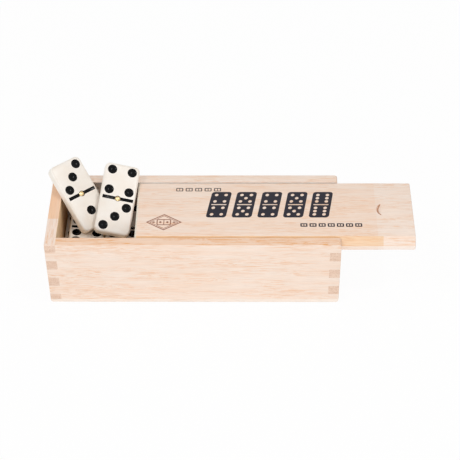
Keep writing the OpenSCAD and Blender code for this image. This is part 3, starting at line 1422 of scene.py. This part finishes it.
@dataclass
class Tiles:
    """The double-six set, 26 tiles stored and two leaning at the open end."""

    width: float = 24.6
    length: float = 51.0
    thickness: float = 7.6
    corner: float = 3.8
    edge: float = 1.5
    pip_radius: float = 3.3
    pip_depth: float = 0.9
    pip_column: float = 7.0
    pip_row: float = 7.4
    half_centre: float = 13.15
    line_length: float = 21.6
    line_width: float = 2.4
    line_depth: float = 0.5
    line_edge: float = 0.35
    head_radius: float = 2.0
    head_proud: float = 0.5
    shank_radius: float = 0.75
    shank_length: float = 4.0
    gap: float = 0.05
    # How far a cutter runs past the face
    over: float = 1.0
    # How far under the face a hollow's faces begin, and how far a side's faces turn up
    skin: float = 0.002
    side_tilt: float = 0.6
    # How finely the round shapes are divided
    corner_steps: int = 10
    edge_steps: int = 4
    line_steps: int = 2
    pip_rings: int = 36
    head_rings: int = 48
    shank_sides: int = 24
    # The angles in degrees up to which tiles and spinners are shaded smooth
    tile_smooth: float = 28.0
    head_smooth: float = 40.0
    loose: tuple[int, int] = (6, 6)
    loose_tilt: float = 5.0
    leaning: Mapping[tuple[int, int], Lean] = field(default_factory=lambda: {
        (3, 1): Lean("left_tile", (-59.6418, 9.1, 35.1415), 39.4, 38.533, 4.2),
        (4, 3): Lean("right_tile", (-46.1428, -9.3, 34.6265), -8.5, 27.9536, 16.9)})

    def blank(self) -> Piece:
        """Makes a soft-edged tile on its back with its line and seat, and no pips yet.

        Returns:
            The tile.
        """
        half_x, half_y = self.width / 2, self.length / 2
        tile = Bench.block("blank", (-half_x, -half_y, 0), (half_x, half_y, self.thickness))
        Bench.soften(tile, lambda middle: NEAR < middle.z < self.thickness - NEAR,
                     self.corner, self.corner_steps)
        Bench.soften(tile, lambda middle: not NEAR < middle.z < self.thickness - NEAR,
                     self.edge, self.edge_steps)
        floor, high = self.thickness - self.line_depth, self.thickness + self.over
        bar = Bench.block("bar", (-self.line_length / 2, -self.line_width / 2, floor),
                          (self.line_length / 2, self.line_width / 2, high))
        Bench.soften(bar, lambda middle: middle.z < floor + NEAR, self.line_edge,
                     self.line_steps)
        Bench.cut(tile, bar)
        Bench.cut(tile, Bench.rod(self.head_radius + self.gap, floor, high))
        Bench.cut(tile, Bench.rod(self.shank_radius + self.gap,
                                  floor - self.shank_length, high))
        return tile

    def spots(self, count: int) -> list[tuple[int, int]]:
        """Places the pips of one half of a tile.

        Args:
            count: the number of pips.

        Returns:
            Each pip's column and row about the half's middle.
        """
        spots = [(0, 0)] if count % 2 else []
        if count >= 2:
            spots += [(-1, -1), (1, 1)]
        if count >= 4:
            spots += [(-1, 1), (1, -1)]
        if count == 6:
            spots += [(-1, 0), (1, 0)]
        return spots

    def pip_places(self, high: int, low: int) -> list[Pair]:
        """The middles of all pips of a tile, the higher half at +Y."""
        return [(x * self.pip_column, way * self.half_centre + y * self.pip_row)
                for way, count in ((1, high), (-1, low)) for x, y in self.spots(count)]

    def pip_cutter(self, x: float, y: float) -> Piece:
        """The ball that hollows the pip at a place."""
        radius = (self.pip_radius ** 2 + self.pip_depth ** 2) / (2 * self.pip_depth)
        return Bench.ball(radius, (x, y, self.thickness + radius - self.pip_depth),
                          self.pip_rings)

    def paint_of(self, face: bpy.types.MeshPolygon,
                 places: Sequence[Pair]) -> Paint:
        """Chooses the paint of one face of a tile on its back.

        Args:
            face: the face.
            places: the middles of the tile's pips.

        Returns:
            The paint.
        """
        middle = face.center / MM
        depth = self.thickness - middle.z
        on_bar = (abs(middle.x) < self.line_length / 2 + LAP
                  and abs(middle.y) < self.line_width / 2 + LAP)
        on_seat = math.hypot(middle.x, middle.y) < self.head_radius + NEAR
        in_line = (on_bar or on_seat) and self.gap < depth < self.line_depth + self.gap
        in_pip = (self.skin < depth < self.thickness / 2
                  and any(math.hypot(middle.x - x, middle.y - y) < self.pip_radius
                          for x, y in places))
        if in_line or in_pip:
            return Paint.BLACK
        return Paint.SIDE if abs(face.normal.z) < self.side_tilt else Paint.FACE

    def tile(self, blank: Piece, high: int, low: int,
             paints: Mapping[Paint, bpy.types.Material]) -> Piece:
        """Makes one tile on its back, hollowed and painted.

        Args:
            blank: the tile without pips.
            high: the number of pips on the half at +Y.
            low: the number of pips on the other half.
            paints: the material of each paint.

        Returns:
            The tile.
        """
        tile = Bench.copy(blank, f"domino_{high}_{low}", Matrix.Identity(4))
        places = self.pip_places(high, low)
        if places:
            Bench.cut(tile, *(self.pip_cutter(*spot) for spot in places))
        Bench.coat(tile, *(paints[paint] for paint in Paint))
        for face in tile.data.polygons:
            face.material_index = self.paint_of(face, places).value
        Bench.smooth(tile, self.tile_smooth)
        return tile

    def spinner(self, paint: bpy.types.Material) -> Piece:
        """Makes a domed brass spinner, seated as in a tile on its back.

        Args:
            paint: its material.

        Returns:
            The spinner.
        """
        head = self.line_depth + self.head_proud
        radius = (self.head_radius ** 2 + head ** 2) / (2 * head)
        floor = self.thickness - self.line_depth
        dome = Bench.ball(radius, (0, 0, floor + head - radius), self.head_rings)
        Bench.slice(dome, (0, 0, floor + self.skin / 2), (0, 0, 1), True)
        shank = Bench.rod(self.shank_radius, floor - self.shank_length, floor,
                          self.shank_sides)
        spinner = Bench.join([dome, shank], "spinner")
        Bench.coat(spinner, paint)
        Bench.smooth(spinner, self.head_smooth)
        return spinner

    def stored_place(self, node: str, key: tuple[int, int]) -> Matrix:
        """Finds where a stored tile lies, its higher half to the front.

        Args:
            node: the tile's node, whose box gives the place.
            key: the numbers of pips on its halves.

        Returns:
            The matrix that takes a tile on its back at the origin there.
        """
        low, high = (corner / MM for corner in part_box(node))
        turn = Matrix.Rotation(math.pi, 4, "Z")
        middle = (low + high) / 2
        if key != self.loose:
            return Matrix.Translation(Vector((middle.x, middle.y, low.z)) * MM) @ turn
        tilt = math.radians(self.loose_tilt)
        right = high.x - self.thickness * math.sin(tilt)
        hinge = Vector((right, middle.y, low.z)) * MM
        back = Vector((-self.width / 2, 0, 0)) * MM
        return (Matrix.Translation(hinge) @ Matrix.Rotation(tilt, 4, "Y")
                @ Matrix.Translation(back) @ turn)

    def build(self) -> None:
        """Builds and dresses the whole set."""
        paints = {Paint.FACE: Ivory("ivory").material(),
                  Paint.BLACK: BlackPaint("pip_paint").material(),
                  Paint.SIDE: IvorySidePaintedLight("ivory_side_painted_light").material()}
        blank = self.blank()
        pin = self.spinner(Brass("brass").material())
        stored = []
        for high in range(7):
            for low in range(high + 1):
                key, node = (high, low), f"tile_{high}_{low}"
                lean = self.leaning.get(key)
                place = (lean.matrix(self.width, self.length) if lean
                         else self.stored_place(node, key))
                tile = self.tile(blank, high, low, paints)
                tile.data.transform(place)
                body = lean.body if lean else "case"
                hand_over(tile, body, [node])
                name = f"spinner_{high}_{low}"
                stud = Bench.copy(pin, "dome_" + name, place)
                if lean:
                    hand_over(stud, body, [name])
                else:
                    stored.append(stud)
        hand_over(Bench.join(stored, "stored_domes"), "case",
                  ["stored_spinners"])
        for helper in (blank, pin):
            bpy.data.objects.remove(helper, do_unlink=True)


# ---- Studio ----


@dataclass(frozen=True)
class Lamp:
    """A square soft lamp that faces a point. Places and size are in millimetres."""

    name: str
    place: Triple
    size: float
    watts: float
    target: Triple = (0, 0, 30)

    def hang(self) -> None:
        """Adds the lamp to the scene."""
        data = bpy.data.lights.new(self.name, "AREA")
        data.shape = "SQUARE"
        data.size = self.size * MM
        data.energy = self.watts
        lamp = bpy.data.objects.new(self.name, data)
        lamp.location = Vector(self.place) * MM
        aim = Vector(self.target) - Vector(self.place)
        lamp.rotation_euler = aim.to_track_quat("-Z", "Y").to_euler()
        bpy.context.scene.collection.objects.link(lamp)


@dataclass
class Studio:
    """The floor, the lights and the camera."""

    focal: float = 112.24
    sensor: float = 36.0
    camera_place: Triple = (37.55, -727.98, 720.58)
    camera_turn: Triple = (46.725, 0.4896, 0.5555)
    # What the camera can see, from and to, in metres
    clip: Pair = (0.01, 20)
    sky: float = 0.63
    floor_size: float = 8000.0
    floor_drop: float = 0.2
    floor_glow: float = 0.95
    floor_colour: Triple = (0.92, 0.915, 0.91)
    lamps: tuple[Lamp, ...] = (Lamp("key", (560, -250, 1190), 160, 2.4),
                               Lamp("left", (-600, -420, 1150), 260, 2.5),
                               Lamp("front", (100, -1400, 420), 500, 3.9))

    def camera(self) -> None:
        """Adds the camera."""
        data = bpy.data.cameras.new("camera")
        data.lens = self.focal
        data.sensor_width = self.sensor
        data.clip_start, data.clip_end = self.clip
        camera = bpy.data.objects.new("camera", data)
        camera.location = [value * MM for value in self.camera_place]
        camera.rotation_euler = [math.radians(value) for value in self.camera_turn]
        bpy.context.scene.collection.objects.link(camera)
        bpy.context.scene.camera = camera

    def shown(self, graph: Graph) -> Value:
        """Finds the rays that get the pale background.

        Args:
            graph: the tree to work in.

        Returns:
            1 for camera, mirror and see-through rays, otherwise 0.
        """
        path = graph.node("LightPath")
        seen = Value(graph, path.outputs["Is Camera Ray"])
        glossy = Value(graph, path.outputs["Is Glossy Ray"])
        through = Value(graph, path.outputs["Is Transmission Ray"])
        return seen.most(glossy).most(through)

    def world(self) -> None:
        """Soft white light from all round, and a white background."""
        world = bpy.data.worlds.new("world")
        world.use_nodes = True
        bpy.context.scene.world = world
        graph = Graph(world.node_tree)
        strength = self.shown(graph) * (1 - self.sky) + self.sky
        light = graph.value("Background", 0, None,
                            {"Color": (1, 1, 1, 1), "Strength": strength})
        graph.node("OutputWorld", None, {"Surface": light})

    def paint_floor(self, graph: Graph) -> None:
        """Paints a floor that is white to the camera and keeps a faint shadow.

        Args:
            graph: the tree to fill.
        """
        matt = graph.value("BsdfDiffuse", 0, None,
                           {"Color": (*self.floor_colour, 1)})
        glow = graph.value("Emission", 0, None,
                           {"Color": (1, 1, 1, 1), "Strength": 1.0})
        mixed = graph.value("MixShader", 0, None,
                            {0: self.shown(graph) * self.floor_glow, 1: matt, 2: glow})
        graph.node("OutputMaterial", None, {"Surface": mixed})

    def floor(self) -> None:
        """Adds the floor, just under the object."""
        Bench.clear()
        bpy.ops.mesh.primitive_plane_add(size=self.floor_size * MM,
                                         location=(0, 0, -self.floor_drop * MM))
        floor = bpy.context.object
        floor.name = "floor"
        Bench.coat(floor, new_material("floor", self.paint_floor))

    def build(self) -> None:
        """Builds the whole studio."""
        bpy.context.scene.view_settings.view_transform = "Standard"
        self.camera()
        self.world()
        self.floor()
        for lamp in self.lamps:
            lamp.hang()


def main() -> None:
    """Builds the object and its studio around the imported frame."""
    logging.basicConfig(level=logging.INFO, format="%(name)s: %(message)s")
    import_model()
    Studio().build()
    Case().build()
    Lid().build()
    Tiles().build()


if __name__ == "__main__":
    main()
